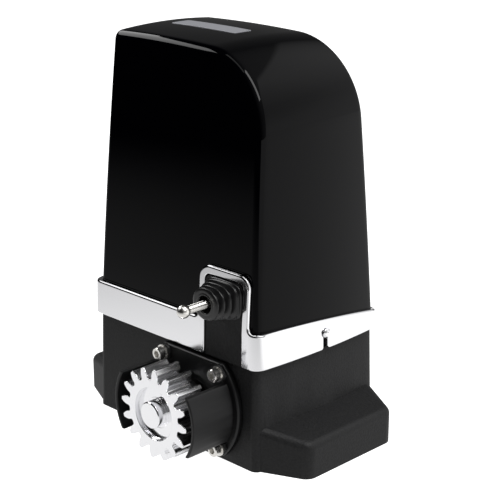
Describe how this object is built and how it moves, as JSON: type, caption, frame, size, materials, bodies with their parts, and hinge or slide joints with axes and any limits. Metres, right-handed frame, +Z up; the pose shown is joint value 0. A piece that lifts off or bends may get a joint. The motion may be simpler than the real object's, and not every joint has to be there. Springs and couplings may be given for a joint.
{
  "type": "sliding gate motor",
  "caption": "Sliding gate motor with a lift-off gloss cover, a chrome band, a guarded rack pinion and a spring limit lever; worm gearbox, motor, control board and manual release inside.",
  "frame": {"origin": "centre of the base's footprint, on the ground plane", "axes": "+X along the gate and its rack, -Y towards the gate where the pinion stands, +Z up"},
  "size_m": [0.253, 0.1943, 0.3128],
  "materials": {
    "base_paint": "fine textured satin powder coat on die-cast aluminium",
    "cover_gloss": "high gloss black ABS",
    "band_chrome": "chrome plated, polished",
    "bright_screw": "bright zinc plated steel",
    "black_screw": "black oxide steel",
    "guard_plastic": "moulded black nylon",
    "gear_steel": "bright zinc plated cut steel",
    "shaft_steel": "ground steel",
    "boot_rubber": "soft black rubber",
    "seal_rubber": "nitrile rubber",
    "case_aluminium": "as cast",
    "wheel_bronze": "machined tin bronze",
    "bearing_steel": "ground bearing steel",
    "zinc_plate": "zinc plated sheet",
    "lamination": "stacked electrical steel",
    "copper_enamel": "enamelled copper wire, varnished",
    "capacitor_shell": "light grey plastic can",
    "board_green": "solder mask on glass epoxy",
    "terminal_green": "moulded terminal housing",
    "relay_black": "moulded relay case",
    "fuse_glass": "glass fuse in a clip",
    "module_blue": "receiver board",
    "switch_grey": "moulded switch case",
    "lever_black": "glass filled nylon",
    "lock_nickel": "nickel plated brass"
  },
  "bodies": {
    "base": {"base_housing": "base_paint", "cable_grommet": "seal_rubber", "pinion_guard": "guard_plastic", "guard_screws": "bright_screw", "output_seal": "seal_rubber", "gearbox_case": "case_aluminium", "gearbox_bolts": "black_screw", "gearbox_rear_cover": "case_aluminium", "rear_cover_screws": "zinc_plate", "output_bearing_front": "bearing_steel", "output_bearing_rear": "bearing_steel", "worm_bearing_lower": "bearing_steel", "worm_bearing_upper": "bearing_steel", "rotor_bearing_top": "bearing_steel", "chassis_plate": "zinc_plate", "chassis_screws": "zinc_plate", "motor_flange": "case_aluminium", "stator_stack": "lamination", "stator_windings": "copper_enamel", "motor_end_bell": "case_aluminium", "motor_tie_bolts": "zinc_plate", "run_capacitor": "capacitor_shell", "capacitor_clip": "zinc_plate", "transformer_core": "lamination", "transformer_coil": "copper_enamel", "board_bracket": "zinc_plate", "control_board": "board_green", "terminal_blocks": "terminal_green", "relays": "relay_black", "fuse_holder": "fuse_glass", "receiver_module": "module_blue", "limit_switch_case": "switch_grey", "bellows": "boot_rubber", "cover_screws": "bright_screw", "release_hinge_pin": "zinc_plate"},
    "cover": {"cover_shell": "cover_gloss", "trim_band": "band_chrome"},
    "output": {"output_shaft": "shaft_steel", "pinion": "gear_steel", "pinion_key": "shaft_steel", "pinion_circlip": "shaft_steel", "worm_wheel": "wheel_bronze", "wheel_key": "shaft_steel"},
    "rotor": {"worm_shaft": "shaft_steel", "rotor_core": "lamination"},
    "limit_lever": {"limit_pivot": "switch_grey", "limit_rod": "gear_steel", "limit_ball": "bright_screw"},
    "release": {"release_lever": "lever_black"},
    "lock": {"lock_cylinder": "lock_nickel"},
    "release_plunger": {"release_rod": "shaft_steel"}
  },
  "joints": [
    {"name": "cover_lift", "type": "slide", "parent": "base", "child": "cover", "axis": [0, 0, 1], "range_m": [0, 0.3]},
    {"name": "output_spin", "type": "hinge", "parent": "base", "child": "output", "pos_m": [0.0272, -0.0997, 0.0423], "axis": [0, 1, 0], "continuous": true},
    {"name": "rotor_spin", "type": "hinge", "parent": "base", "child": "rotor", "pos_m": [-0.0118, -0.004, 0.15], "axis": [0, 0, 1], "continuous": true},
    {"name": "limit_lever_swing", "type": "hinge", "parent": "base", "child": "limit_lever", "pos_m": [0.0577, -0.051, 0.1305], "axis": [0, 0, 1], "range_deg": [-22, 22], "stiffness_Nm_per_rad": 0.4, "deforming": ["bellows"]},
    {"name": "release_lever_swing", "type": "hinge", "parent": "base", "child": "release", "pos_m": [0.044, 0.07297, 0.0423], "axis": [0, 0, -1], "range_deg": [0, 90]},
    {"name": "lock_turn", "type": "hinge", "parent": "release", "child": "lock", "pos_m": [-0.028, 0.07297, 0.0423], "axis": [0, 1, 0], "range_deg": [0, 90]},
    {"name": "release_rod_slide", "type": "slide", "parent": "base", "child": "release_plunger", "axis": [0, 1, 0], "range_m": [0, 0.004]}
  ],
  "couplings": [
    {"joint": "rotor_spin", "follows": "output_spin", "ratio": -30},
    {"joint": "release_rod_slide", "follows": "release_lever_swing", "m_per_rad": 0.0025465}
  ]
}
